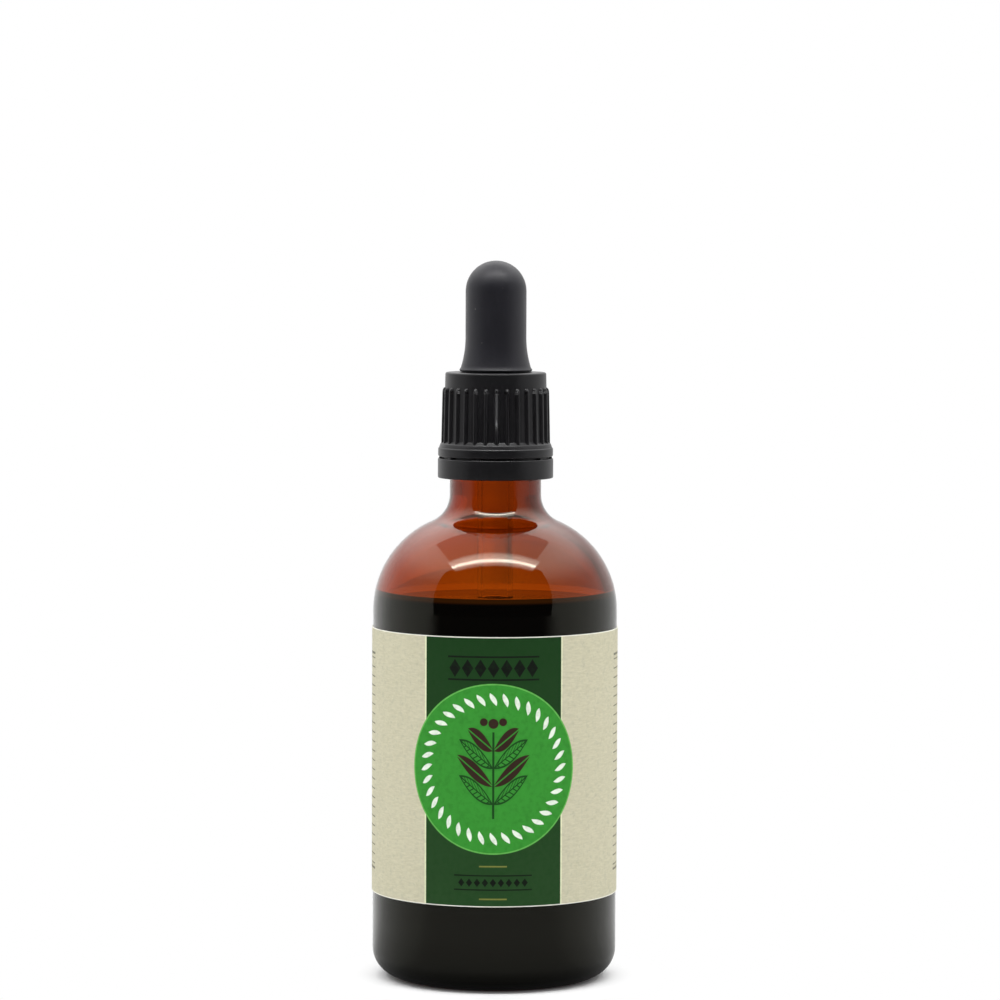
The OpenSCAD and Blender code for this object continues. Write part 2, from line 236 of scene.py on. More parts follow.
class Finish:
    """A node tree that is being filled, for a material or the world."""

    def __init__(self, owner):
        owner.use_nodes = True
        self.owner = owner
        self.tree = owner.node_tree
        self.tree.nodes.clear()

    def node(self, kind, options=None, values=None, output=0):
        """Makes a node, sets its options, then fills its sockets with numbers or wires."""
        made = self.tree.nodes.new("ShaderNode" + kind)
        for name, option in (options or {}).items():
            setattr(made, name, option)
        for name, value in (values or {}).items():
            socket = made.inputs[name]
            if isinstance(value, Wire):
                self.tree.links.new(value.socket, socket)
            elif isinstance(value, tuple) and len(value) == 3 and socket.type == "RGBA":
                socket.default_value = (*value, 1)
            else:
                socket.default_value = value
        return Wire(self, made.outputs[output])

    def parts(self, vector):
        """The X of a vector. Its Y and Z are other outputs."""
        return self.node("SeparateXYZ", values={"Vector": vector}, output="X")

    def noise(self, place, width, detail):
        """Noise with blobs about as wide as width, in millimetres."""
        return self.node("TexNoise", values={
            "Vector": place, "Scale": 1 / (width * MM), "Detail": detail})

    def bump(self, height):
        """A relief whose height is in millimetres."""
        return self.node("Bump", values={"Height": height, "Strength": 1.0, "Distance": MM})

    def mix(self, share, first, second):
        """A colour that goes from first to second as share goes from 0 to 1."""
        return self.node("Mix", {"data_type": "RGBA"}, {0: share, 6: first, 7: second}, output=2)

    def step(self, value, low, high):
        """0 up to low, 1 from high, and a soft step between them."""
        return self.node("MapRange", {"interpolation_type": "SMOOTHSTEP"},
                         {"Value": value, "From Min": low, "From Max": high})

    def least(self, first, second):
        return self.node("Math", {"operation": "MINIMUM"}, {0: first, 1: second})

    def most(self, first, second):
        return self.node("Math", {"operation": "MAXIMUM"}, {0: first, 1: second})

    def length(self, x, y):
        """Distance of the point x, y from the origin."""
        squares = x * x + y * y
        return self.node("Math", {"operation": "SQRT"}, {0: squares})

    def surface(self, shader):
        """Ends the tree at its output."""
        kind = "OutputWorld" if isinstance(self.owner, bpy.types.World) else "OutputMaterial"
        self.node_sink(kind, {"Surface": shader})

    def node_sink(self, kind, values):
        sink = self.tree.nodes.new("ShaderNode" + kind)
        for name, value in values.items():
            self.tree.links.new(value.socket, sink.inputs[name])


def srgb(red, green, blue):
    """A colour as read from a screen, 0 to 255, as the linear numbers that a shader takes."""
    def linear(level):
        level /= 255
        return level / 12.92 if level <= 0.04045 else ((level + 0.055) / 1.055) ** 2.4

    return tuple(linear(level) for level in (red, green, blue))


def material(name):
    return Finish(bpy.data.materials.new(name))


print("mid grey is", [round(level, 3) for level in srgb(128, 128, 128)])

# %% [markdown]
# ## Amber glass
# Brown glass is clear glass with iron and sulphur melted in, so its colour grows with the depth
# that light crosses. A tinted Base Color would give a thin lip and a thick heel the same brown. A
# Volume Absorption does it as the melt does: the surface stays clear, and each millimetre inside
# takes its share of blue, then green, then red. Only the gloss gets a trace of yellow, from
# Specular Tint, because the lights in the picture are a little warm. Moulded glass is also wavy,
# which a faint bump gives.

# %% Mix the amber glass
GLASS_IOR = 1.52
AMBER_LOSS = (314, 780, 1956)  # share of red, green and blue lost, per metre
AMBER_DENSITY = 1960
AMBER_GLEAM = (1.0, 1.0, 0.84)  # colour of the gloss


def glass_finish(name, loss, density, wave_height, wave_width, gleam=WHITE):
    """Clear glass that takes a share of the light along the way through it."""
    finish = material(name)
    place = finish.node("TexCoord", output="Object")
    waves = finish.noise(place, wave_width, 1.0)
    shader = finish.node("BsdfPrincipled", values={
        "Base Color": WHITE, "Roughness": 0.0, "IOR": GLASS_IOR,
        "Transmission Weight": 1.0, "Specular Tint": gleam,
        "Normal": finish.bump(waves * wave_height),
    })
    depth = finish.node("VolumeAbsorption", values={
        "Color": tuple(1 - share / density for share in loss), "Density": density,
    })
    finish.node_sink("OutputMaterial", {"Surface": shader, "Volume": depth})
    return finish.owner


amber_glass = glass_finish("amber_glass", AMBER_LOSS, AMBER_DENSITY,
                           wave_height=0.006, wave_width=7, gleam=AMBER_GLEAM)
print("light left after 4 mm:", [round(math.exp(-share * 0.004), 3) for share in AMBER_LOSS])

# %% [markdown]
# ## The bottle
# A machine blows the body inside a mould, so its wall has an outside and an inside, and both
# belong to one closed skin. That matters here: a ray has to cross both to refract as in real
# glass. One outline therefore runs from the middle of the base out round the heel, up the shoulder
# and neck, over the lip and down the inside to the floor. The heel is two arcs, a tight one that
# leaves the side and a wider one that runs in under the bottle. A single surface with a Solidify
# modifier would give the same wall everywhere, but the base and the neck are thicker.

# %% Draw and turn the bottle
BODY_R = 23.5
LIP_Z = 112.9
GLASS_WALL = 2.0
BASE_WALL = 3.0
HEEL_R = 5.5
HEEL_DEGREES = 70
HEEL_FOOT_R = 8.0
INNER_HEEL_R = 4.6
SHOULDER_R = 18.6
FOOT_OUTER_R = BODY_R - HEEL_R - (HEEL_FOOT_R - HEEL_R) * math.cos(math.radians(HEEL_DEGREES))
HEEL_Z = HEEL_FOOT_R - (HEEL_FOOT_R - HEEL_R) * math.sin(math.radians(HEEL_DEGREES))
FOOT_INNER_R = 15.5
PUSHUP = 1.2
NECK_R = 8.8
NECK_CURVE_R = 5.6
MOUTH_R = 5.4
MOUTH_ROUND = 0.4
NECK_BORE_R = 6.5
BEAD_Z = 98.4
NECK_Z = BEAD_Z - 5.2
BEAD_R = 9.8
BEAD_LAND = 1.1
BEAD_SLOPE = 1.1
MOUTH_LOW_Z = BEAD_Z + BEAD_LAND + BEAD_SLOPE
NECK_BORE_Z = BEAD_Z - (NECK_BORE_R - MOUTH_R)
ROOT_R = 7.95
LIP_ROUND = 0.8
SHOULDER_X = BODY_R - SHOULDER_R
NECK_CURVE_X = NECK_R + NECK_CURVE_R
SHOULDER_TILT = math.acos((NECK_CURVE_X - SHOULDER_X) / (SHOULDER_R + NECK_CURVE_R))
SHOULDER_Z = NECK_Z - (SHOULDER_R + NECK_CURVE_R) * math.sin(SHOULDER_TILT)
WALL_R = BODY_R - GLASS_WALL
INNER_SHOULDER_R = SHOULDER_R - GLASS_WALL
THROAT_R = NECK_CURVE_R + GLASS_WALL
THROAT_X = NECK_BORE_R + THROAT_R
THROAT_TILT = math.acos((THROAT_X - SHOULDER_X) / (INNER_SHOULDER_R + THROAT_R))
THROAT_Z = SHOULDER_Z + (INNER_SHOULDER_R + THROAT_R) * math.sin(THROAT_TILT)
ROUND_STEPS = 160
THREAD_RINGS = 72

dome_r = (FOOT_INNER_R ** 2 + PUSHUP ** 2) / (2 * PUSHUP)
dome_half = math.degrees(math.asin(FOOT_INNER_R / dome_r))

pen = Pen(0, PUSHUP).arc(0, PUSHUP - dome_r, -dome_half, 8).line(FOOT_OUTER_R, 0)
pen.arc(FOOT_OUTER_R, HEEL_FOOT_R, 90 - HEEL_DEGREES, 4)
pen.arc(BODY_R - HEEL_R, HEEL_Z, HEEL_DEGREES, 10).line(BODY_R, SHOULDER_Z, 12)
pen.arc(SHOULDER_X, SHOULDER_Z, math.degrees(SHOULDER_TILT), 26)
pen.arc(NECK_CURVE_X, NECK_Z, -math.degrees(SHOULDER_TILT), 16).line(NECK_R, BEAD_Z, 3)
pen.line(BEAD_R, BEAD_Z).line(BEAD_R, BEAD_Z + BEAD_LAND).line(ROOT_R, MOUTH_LOW_Z)
pen.line(ROOT_R, LIP_Z - LIP_ROUND, THREAD_RINGS).arc(ROOT_R - LIP_ROUND, LIP_Z - LIP_ROUND, 90, 5)
pen.line(MOUTH_R + MOUTH_ROUND, LIP_Z).arc(MOUTH_R + MOUTH_ROUND, LIP_Z - MOUTH_ROUND, 90, 4)
pen.line(MOUTH_R, MOUTH_LOW_Z, 4).line(NECK_BORE_R, NECK_BORE_Z)
pen.line(NECK_BORE_R, THROAT_Z, 2).arc(THROAT_X, THROAT_Z, math.degrees(THROAT_TILT), 16)
pen.arc(SHOULDER_X, SHOULDER_Z, -math.degrees(THROAT_TILT), 26)
pen.line(WALL_R, BASE_WALL + INNER_HEEL_R, 12)
pen.arc(WALL_R - INNER_HEEL_R, BASE_WALL + INNER_HEEL_R, -90, 12).line(FOOT_INNER_R, BASE_WALL)
pen.arc(0, BASE_WALL + PUSHUP - dome_r, dome_half, 8)
bottle = pen.turn(ROUND_STEPS, closed=False)
print(f"shoulder starts at {SHOULDER_Z:.1f} mm and leans {math.degrees(SHOULDER_TILT):.1f} degrees")

# %% [markdown]
# The screw thread is a ridge that climbs 3 mm in each turn. It could be a swept shape joined with
# a Boolean, but the mould blows it out of the same wall, so here the rings of the wall are pushed
# out where the ridge passes. A vertex knows its turn from its angle and its height, and the same
# helper pushes the cap's thread inwards later.

# %% Push out the thread
THREAD_PITCH = 3.0
THREAD_TURNS = 1.5
THREAD_BELOW = 2  # the heights that the ridge keeps within, from its start
THREAD_ABOVE = 7
RUN_IN = 0.07  # the share of a turn over which the ridge rises and fades


def cut_thread(bm, wall_r, height, low_z, start_degrees, half_crest, half_root):
    """Moves a wall's vertices by height, outwards if positive, along one and a half turns."""
    for vert in bm.verts:
        up_wall = vert.co.z - low_z
        if abs(radius(vert) - wall_r) > NEAR or not -THREAD_BELOW < up_wall < THREAD_ABOVE:
            continue
        angle = math.degrees(math.atan2(vert.co.y, vert.co.x)) - start_degrees
        lift = 0
        for lap in range(-1, 3):
            turns = angle / 360 + lap
            if not 0 <= turns <= THREAD_TURNS:
                continue
            away = abs(up_wall - THREAD_PITCH * turns)
            flank = min(1, max(0, (half_root - away) / (half_root - half_crest)))
            fade = min(1, turns / RUN_IN, (THREAD_TURNS - turns) / RUN_IN)
            lift = max(lift, flank * fade)
        vert.co.xy *= (wall_r + height * lift) / radius(vert)


cut_thread(bottle, ROOT_R, height=0.85, low_z=106.5, start_degrees=6, half_crest=0.45,
           half_root=0.77)
round_rings(bottle, [(FOOT_INNER_R, 0), (BEAD_R, BEAD_Z), (BEAD_R, BEAD_Z + BEAD_LAND)], width=0.25)
round_rings(bottle, [(NECK_R, BEAD_Z)], width=0.4)
round_rings(bottle, [(MOUTH_R, MOUTH_LOW_Z), (NECK_BORE_R, NECK_BORE_Z)], width=1.2, segments=5)
make_piece("bottle_glass", bottle, amber_glass, "bottle", "bottle")

# %% [markdown]
# ## The liqueur
# Seen through brown glass, four centimetres of dark liqueur let no light through, so it can be an
# opaque body, which renders without noise. Two things sell it as a liquid. It wets the wall, so
# there is no layer of air between them: its side is drawn a tenth of a millimetre into the glass
# and has no gloss of its own. Its surface is glossy and climbs the wall in a meniscus. The light
# that would pass through that thin edge is painted on as a brown glow.

# %% Mix the liqueur
FILL_Z = 73.4
SOAK = 0.12  # how far the liqueur is drawn into the glass
CLIMB = 1.3  # height of the meniscus
CLIMB_DEGREES = 75
LIQUEUR_IOR = 1.36
LIQUEUR_BLACK = (0.003, 0.0035, 0.001)
BLACK = (0.0, 0.0, 0.0)
# painted glow: light passing through the thin meniscus film and the glass, and a dim brown low on
# its outer side
PAINTED_GLOW_THROUGH_FILM = (0.58, 0.21, 0.02)
PAINTED_GLOW_UNDER_FILM = (0.045, 0.03, 0.008)


def liqueur_finish(name, surface_z, climb):
    """Black liquid with a painted brown glow, for the light through it where it thins out against
    the glass.
    """
    finish = material(name)
    east = finish.parts(finish.node("TexCoord", output="Object"))
    north = east.other("Y")
    height = east.other("Z") / MM - surface_z
    faces = finish.parts(finish.node("NewGeometry", output="Normal"))
    outward = (faces * east + faces.other("Y") * north) / finish.length(east, north)
    # painted glow: the meniscus's inner side and the top of its outer side glow as if lit through
    # the thin film, darkening to black lower down
    inner_glow_share = finish.step(outward, 0.1, -0.1) * finish.step(height, 0.0, climb * 0.05)
    painted_outer_glow = finish.mix(finish.step(height, climb * 0.9, climb), PAINTED_GLOW_UNDER_FILM, PAINTED_GLOW_THROUGH_FILM)
    painted_outer_glow = finish.mix(finish.step(height, climb * 0.05, climb * 0.5), BLACK, painted_outer_glow)
    finish.surface(finish.node("BsdfPrincipled", values={
        "Base Color": LIQUEUR_BLACK, "Roughness": 0.6, "Specular IOR Level": 0.0,
        "Coat Roughness": 0.02, "Coat IOR": LIQUEUR_IOR,
        "Coat Weight": finish.step(faces.other("Z"), 0.75, 0.9),
        "Emission Color": finish.mix(inner_glow_share, painted_outer_glow, PAINTED_GLOW_THROUGH_FILM),
        "Emission Strength": 1.0,
    }))
    return finish.owner


liqueur = liqueur_finish("liqueur", FILL_Z, CLIMB)
print(f"liqueur up to {FILL_Z} mm, and {CLIMB} mm more at the glass")

# %% Pour the liqueur
climb_r = CLIMB / (1 - math.cos(math.radians(CLIMB_DEGREES)))
wall_tilt = math.asin((FILL_Z + CLIMB - SHOULDER_Z) / (INNER_SHOULDER_R + SOAK))
climb_x = (SHOULDER_X + (INNER_SHOULDER_R + SOAK) * math.cos(wall_tilt)
           - climb_r * math.sin(math.radians(CLIMB_DEGREES)))
pool_floor_z = BASE_WALL + PUSHUP - SOAK
pen = Pen(0, pool_floor_z).arc(0, pool_floor_z - dome_r, -dome_half, 6)
pen.line(WALL_R - INNER_HEEL_R, BASE_WALL - SOAK)
pen.arc(WALL_R - INNER_HEEL_R, BASE_WALL + INNER_HEEL_R, 90, 10)
pen.line(WALL_R + SOAK, SHOULDER_Z, 4).arc(SHOULDER_X, SHOULDER_Z, math.degrees(wall_tilt), 6)
pen.arc(climb_x, FILL_Z + climb_r, -CLIMB_DEGREES, 10).line(0, FILL_Z, 4)
make_piece("liqueur_pool", pen.turn(ROUND_STEPS, closed=False), liqueur,
           "bottle", "liquid")

# %% [markdown]
# ## The pipette
# The tube is clear glass, drawn out to a fine tip in a flame, with a collar that a ring inside the
# teat grips. It is turned as one skin with a bore right through it. The same glass helper makes
# its finish, with hardly any loss of light, only the faint green that a cut end shows.

# %% Turn the pipette
TUBE_R = 3.5
BORE_R = 2.5
TIP_R = 1.3
TIP_BORE_R = 0.6
TIP_Z = 8.2
TIP_STRAIGHT_Z = TIP_Z + 2.5
TAPER_Z = TIP_Z + 10
COLLAR_Z = 118.8
COLLAR_R = 4.2
COLLAR_SLOPE = 0.7
COLLAR_LAND = 1.4
TUBE_TOP_Z = 122.8
CLEAR_LOSS = (14, 5, 9)
CLEAR_DENSITY = 40

clear_glass = glass_finish("clear_glass", CLEAR_LOSS, CLEAR_DENSITY,
                           wave_height=0.002, wave_width=4)
collar_top_z = COLLAR_Z + 2 * COLLAR_SLOPE + COLLAR_LAND
pen = Pen(TIP_BORE_R, TIP_Z).line(TIP_R, TIP_Z).line(TIP_R, TIP_STRAIGHT_Z).line(TUBE_R, TAPER_Z)
pen.line(TUBE_R, COLLAR_Z, 12).line(COLLAR_R, COLLAR_Z + COLLAR_SLOPE)
pen.line(COLLAR_R, collar_top_z - COLLAR_SLOPE).line(TUBE_R, collar_top_z)
pen.line(TUBE_R, TUBE_TOP_Z).line(BORE_R, TUBE_TOP_Z)
pen.line(BORE_R, TAPER_Z, 12).line(TIP_BORE_R, TIP_STRAIGHT_Z)
tube = pen.turn(72)
round_rings(tube, [(TIP_BORE_R, TIP_Z), (TIP_R, TIP_Z), (TUBE_R, TUBE_TOP_Z), (BORE_R, TUBE_TOP_Z)],
            width=0.25)
round_rings(tube, [(TIP_R, TIP_STRAIGHT_Z), (TUBE_R, TAPER_Z), (BORE_R, TAPER_Z),
                   (TIP_BORE_R, TIP_STRAIGHT_Z)], width=1.2, segments=5)
make_piece("pipette_tube", tube, clear_glass, "pipette", "pipette")

# %% [markdown]
# The column that stands in the tube keeps its level while the tube rises past it by 5 mm, as the
# cap is unscrewed. Its top must stay and its foot must follow the tip, which a squash towards the
# top does.

# %% Fill the pipette
COLUMN_CLIMB = 0.15
COLUMN_SOAK = 0.08
COLUMN_LOW_Z = TIP_Z + 0.1

# the column's thin edge gets the same painted glow as the pool
column_liqueur = liqueur_finish("column_liqueur", FILL_Z, COLUMN_CLIMB)
pen = Pen(0, COLUMN_LOW_Z).line(TIP_BORE_R + COLUMN_SOAK, COLUMN_LOW_Z)
pen.line(TIP_BORE_R + COLUMN_SOAK, TIP_STRAIGHT_Z).line(BORE_R + COLUMN_SOAK, TAPER_Z)
pen.line(BORE_R + COLUMN_SOAK, FILL_Z + COLUMN_CLIMB, 6)
pen.line(BORE_R - 2 * COLUMN_CLIMB, FILL_Z).line(0, FILL_Z)
column = make_piece("drawn_column", pen.turn(48, closed=False), column_liqueur,
                    "drawn_liquid", "drawn_liquid")
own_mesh(column)

# %% [markdown]
# ## Black plastic and black rubber
# Both are nearly black, so only their surface tells them apart. The cap is moulded in
# polypropylene against a fine spark-eroded grain and keeps a satin gloss. The teat is rubber:
# greyer, rougher, with a soft sheen, and it catches dust. One helper mixes both from the same
# parts: a cloudy base colour, a fine grain for the bump, and specks that a Voronoi texture
# scatters and its cell colour thins out.

# %% Mix the black finishes
DUST = srgb(150, 148, 146)
CLOUD_WIDTH = 6.25
SPECK_SPACING = 1.3
SPECK_HEIGHT = 0.006


def black_finish(name, dark, light, roughness, grain_width, grain_height, speck_share, sheen):
    """A cloudy near-black with a moulded grain, strewn with specks of dust."""
    finish = material(name)
    place = finish.node("TexCoord", output="Object")
    cloud = finish.noise(place, CLOUD_WIDTH, 4.0)
    grain = finish.noise(place, grain_width, 2.0)
    cells = finish.node("TexVoronoi", values={
        "Vector": place, "Scale": 1 / (SPECK_SPACING * MM)}, output="Distance")
    pick = finish.node("SeparateColor", values={"Color": cells.other("Color")}, output="Red")
    specks = finish.step(cells, 0.1, 0.05) * finish.step(pick, 1 - speck_share, 1.02 - speck_share)
    finish.surface(finish.node("BsdfPrincipled", values={
        "Base Color": finish.mix(specks * 0.5, finish.mix(cloud, dark, light), DUST),
        "Roughness": roughness + (cloud - 0.5) * 0.16 + specks * 0.2,
        "Sheen Weight": sheen, "Sheen Roughness": 0.5,
        "Normal": finish.bump(grain * grain_height + specks * SPECK_HEIGHT),
    }))
    return finish.owner


black_plastic = black_finish("black_plastic", srgb(14, 13, 16), srgb(21, 20, 23), roughness=0.37,
                             grain_width=0.16, grain_height=0.008, speck_share=0.03, sheen=0.0)
black_rubber = black_finish("black_rubber", srgb(15, 14, 22), srgb(23, 22, 32), roughness=0.47,
                            grain_width=0.24, grain_height=0.012, speck_share=0.08, sheen=0.09)
print("plastic and rubber mixed")

# %% [markdown]
# ## The tamper band
# The band is moulded with the cap and held to it by thin bridges. The first turn snaps them, and
# the band stays on the neck because its catches hook under the bead. The ring is turned with the
# pen. A catch and a bridge are made once, and a spin that duplicates sets out the rest.

# %% Turn the band and set out its catches and bridges
def copy_round(bm, verts, count):
    """Sets count copies of some verts and what joins them evenly round the Z axis."""
    chosen = set(verts)
    faces = [face for face in bm.faces if chosen.issuperset(face.verts)]
    edges = [edge for edge in bm.edges if chosen.issuperset(edge.verts)]
    bmesh.ops.spin(
        bm, geom=list(verts) + edges + faces, cent=(0, 0, 0), axis=UP,
        angle=2 * math.pi * (count - 1) / count, steps=count - 1, use_duplicate=True,
    )


BAND_LOW_Z = 96.4
BAND_TOP_Z = 100.2
BAND_R = 11.1
BAND_BORE_R = 10.2
CATCHES = 12
CATCH_DEGREES = 21
CATCH_SECTION = ((10.25, 97), (10.25, 98), (9.2, 98), (9.2, 97.5))
BRIDGES = 10
BRIDGE_R = 10.55
BRIDGE_SIZE = (0.6, 0.8, 0.5)

band = Pen(BAND_BORE_R, BAND_LOW_Z).line(BAND_R, BAND_LOW_Z).line(BAND_R, BAND_TOP_Z)
band = band.line(BAND_BORE_R, BAND_TOP_Z).turn(128)
round_rings(band, [(BAND_R, BAND_LOW_Z), (BAND_R, BAND_TOP_Z)], width=0.25)
round_rings(band, [(BAND_BORE_R, BAND_LOW_Z), (BAND_BORE_R, BAND_TOP_Z)], width=0.12)

before = set(band.verts)
section = [band.verts.new((r, 0, z)) for r, z in CATCH_SECTION]
band.faces.new(section)
section_edges = section[0].link_edges[:] + section[2].link_edges[:]
bmesh.ops.spin(band, geom=section + section_edges + section[0].link_faces[:], cent=(0, 0, 0),
               axis=UP, angle=math.radians(CATCH_DEGREES), steps=6)
copy_round(band, set(band.verts) - before, CATCHES)

before = set(band.verts)
stub = bmesh.ops.create_cube(band, size=1)["verts"]
bmesh.ops.scale(band, vec=BRIDGE_SIZE, verts=stub)
bmesh.ops.translate(band, vec=(BRIDGE_R, 0, BAND_TOP_Z), verts=stub)
stub_edges = [edge for edge in band.edges if edge.verts[0] in stub]
bmesh.ops.bevel(band, geom=stub_edges, offset=0.08, segments=2, affect="EDGES", profile=0.5,
                material=-1)
copy_round(band, set(band.verts) - before, BRIDGES)
bmesh.ops.recalc_face_normals(band, faces=band.faces)
make_piece("tamper_ring", band, black_plastic, "tamper_band", "tamper_band")

# %% [markdown]
# ## The screw cap
# The cap is a turned shell with a rim at its foot, a hole in its top for the teat, and a thread
# inside. Thirty ribs give the fingers their grip. Each rib is a wedge with a narrow crest. It
# sinks quickly at its top, which leaves a rounded nose. At its foot it runs into the slope between
# the wall and the rim, which draws a point. The ribs could be an Array turned by an empty, but one
# extruded wedge that a spin copies stays in the same mesh as the wall.

# %% Turn the cap
CAP_LOW_Z = 100.5
CAP_TOP_Z = 116.7
CAP_UNDER_Z = 114.9
RIM_R = 11.05
CAP_FOOT_R = 10.0
CAP_FOOT_Z = 102.625
FOOT_HOLLOW_Z = 104.0
FOOT_SLOPE = ((10.86, 102.3), (10.65, 102.88), (10.6, 102.98), (10.54, 103.04), (10.09, 103.46),
              (10.02, 103.54), (10.0, 103.62))  # radius and height, from the rim to the wall
RIM_TOP_Z = 101.95
RIM_ROUND = 0.35
SKIRT_LOW_Z = 100.05
SKIRT_R = 10.12
SKIRT_BORE_R = 9.87
CAP_SHOULDER_R = 9.7
CAP_SHOULDER_ROUND = 0.4
CAP_HOLE_R = 5.6
CAP_HOLE_ROUND = 0.25
CAP_WALL_R = 8.95
CAP_MOUTH_Z = 102.25
CAP_MOUTH_LOW_Z = 101.33
CAP_THREAD_RINGS = 76

pen = Pen(SKIRT_BORE_R, SKIRT_LOW_Z).line(SKIRT_R, SKIRT_LOW_Z).line(SKIRT_R, CAP_LOW_Z + 0.1)
pen.line(RIM_R - RIM_ROUND, CAP_LOW_Z).arc(RIM_R - RIM_ROUND, CAP_LOW_Z + RIM_ROUND, 90, 5)
pen.line(RIM_R, RIM_TOP_Z).arc(RIM_R - RIM_ROUND, RIM_TOP_Z, 60, 4)
for slope_r, slope_z in FOOT_SLOPE:
    pen.line(slope_r, slope_z)
pen.line(CAP_FOOT_R - 0.03, FOOT_HOLLOW_Z).line(CAP_SHOULDER_R, CAP_TOP_Z - CAP_SHOULDER_ROUND, 14)
pen.arc(CAP_SHOULDER_R - CAP_SHOULDER_ROUND, CAP_TOP_Z - CAP_SHOULDER_ROUND, 90, 6)
pen.line(CAP_HOLE_R + CAP_HOLE_ROUND, CAP_TOP_Z)
pen.arc(CAP_HOLE_R + CAP_HOLE_ROUND, CAP_TOP_Z - CAP_HOLE_ROUND, 90, 4)
pen.line(CAP_HOLE_R, CAP_UNDER_Z).line(CAP_WALL_R, CAP_UNDER_Z)
pen.line(CAP_WALL_R, CAP_MOUTH_Z, CAP_THREAD_RINGS)
cap = pen.line(SKIRT_BORE_R, CAP_MOUTH_LOW_Z).turn(150)
cut_thread(cap, CAP_WALL_R, height=-0.8, low_z=104.7, start_degrees=-54, half_crest=0.36,
           half_root=0.694)
round_rings(cap, [(CAP_HOLE_R, CAP_UNDER_Z)], width=0.2)
print(f"cap shell: {len(cap.faces)} faces")

# %% Raise the ribs
RIBS = 30
RIB_TURN = 271
# one half of the wedge, as height over the wall and distance from the middle
RIB_SECTION = [(-0.45, 0.62), (-0.06, 0.56), (0.03, 0.49), (0.38, 0.28), (0.49, 0.18), (0.52, 0.0)]
# heights up the cap, and how far the wedge is sunk into the wall there
RIB_STATIONS = [(102.4, 0.5), (102.9, 0.08), (103.2, 0.0), (103.5, 0.0), (112.7, 0.0), (113.0, 0.0),
                (113.35, 0.07), (113.62, 0.22), (113.78, 0.42), (113.84, 0.58)]


def rib_place(height, side, z, sink):
    """A point of the rib, from its height over the wall and its distance from the middle."""
    share = (z - CAP_FOOT_Z) / (CAP_TOP_Z - CAP_FOOT_Z)
    return (CAP_FOOT_R + (CAP_SHOULDER_R - CAP_FOOT_R) * share + height - sink, side, z)


before = set(cap.verts)
outline = RIB_SECTION + [(height, -side) for height, side in reversed(RIB_SECTION[:-1])]
top = cap.faces.new([cap.verts.new(rib_place(*point, *RIB_STATIONS[0])) for point in outline])
for i, (z, sink) in enumerate(RIB_STATIONS[1:]):
    made = bmesh.ops.extrude_face_region(cap, geom=[top], use_keep_orig=(i == 0))["geom"]
    top = next(part for part in made if isinstance(part, bmesh.types.BMFace))
    for loop, point in zip(top.loops, outline):
        loop.vert.co = rib_place(*point, z, sink)
rib = set(cap.verts) - before
bmesh.ops.rotate(cap, cent=(0, 0, 0), matrix=Matrix.Rotation(math.radians(RIB_TURN), 3, "Z"),
                 verts=list(rib))
copy_round(cap, rib, RIBS)
bmesh.ops.recalc_face_normals(cap, faces=cap.faces)
make_piece("ribbed_cap", cap, black_plastic, "screw_cap", "screw_cap")

# %% [markdown]
# ## The teat
# The teat is one moulding, but pressing it only shortens the bulb, while the flange stays clamped
# between the glass lip and the cap. So it is drawn as two pieces: the bulb rides on the moving
# body and is squashed towards its own top, and the seal rides on the pipette that it grips.

# %% Turn the bulb and the seal
GRIP_R = 3.52
BULB_LOW_Z = 116.8
BULB_R = 5.85
BULB_BORE_R = 4.55
BULB_FOOT_R = 7.0
BULB_FOOT_ROUND = 0.4
BULB_FLARE_Z = 123.4
BULB_DOME_Z = 132.25
BULB_HOLLOW_Z = 119.4
GRIP_TOP_Z = 118.75
SEAL_LOW_Z = 112.95
SEAL_TOP_Z = 114.85
SEAL_R = 8.5
SEAL_ROUND = 0.3
GROOVE_R = 5.55

flare_h = BULB_FLARE_Z - BULB_LOW_Z
flare_r = (flare_h ** 2 + (BULB_FOOT_R - BULB_R) ** 2) / (2 * (BULB_FOOT_R - BULB_R))
flare_angle = math.degrees(math.asin((flare_h - 2 * BULB_FOOT_ROUND) / flare_r))
bulb_waist_r = BULB_R + flare_r * (1 - math.cos(math.radians(flare_angle)))
pen = Pen(0, BULB_DOME_Z + BULB_BORE_R).arc(0, BULB_DOME_Z, -90, 10)
pen.line(BULB_BORE_R, BULB_HOLLOW_Z, 6).line(GRIP_R, GRIP_TOP_Z).line(GRIP_R, BULB_LOW_Z)
pen.line(BULB_FOOT_R - BULB_FOOT_ROUND, BULB_LOW_Z)
pen.arc(BULB_FOOT_R - BULB_FOOT_ROUND, BULB_LOW_Z + BULB_FOOT_ROUND, 90, 5)
pen.line(bulb_waist_r, BULB_LOW_Z + 2 * BULB_FOOT_ROUND)
pen.arc(BULB_R + flare_r, BULB_FLARE_Z, -flare_angle, 14).line(BULB_R, BULB_DOME_Z, 8)
pen.arc(0, BULB_DOME_Z, 90, 18)
bulb = make_piece("teat_bulb", pen.turn(96, closed=False), black_rubber,
                  "teat", "teat")
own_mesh(bulb)

pen = Pen(GRIP_R, SEAL_LOW_Z).line(SEAL_R - SEAL_ROUND, SEAL_LOW_Z)
pen.arc(SEAL_R - SEAL_ROUND, SEAL_LOW_Z + SEAL_ROUND, 90, 4).line(SEAL_R, SEAL_TOP_Z - SEAL_ROUND)
pen.arc(SEAL_R - SEAL_ROUND, SEAL_TOP_Z - SEAL_ROUND, 90, 4).line(GROOVE_R, SEAL_TOP_Z)
pen.line(GROOVE_R, BULB_LOW_Z + 0.3).line(GRIP_R, BULB_LOW_Z + 0.3)
make_piece("teat_seal", pen.turn(96), black_rubber, "pipette", "teat")

# %% [markdown]
# ## The label
# The label is a sheet of uncoated paper with rounded corners, glued round the body so that its
# ends leave a gap of 4 mm at the back. It could be a turned tube, but then it would have neither
# ends nor corners. So it is cut flat from a grid of one cell, its corners are bevelled, bisecting
# planes score it where it has to bend, and its points are then wrapped round the glass.

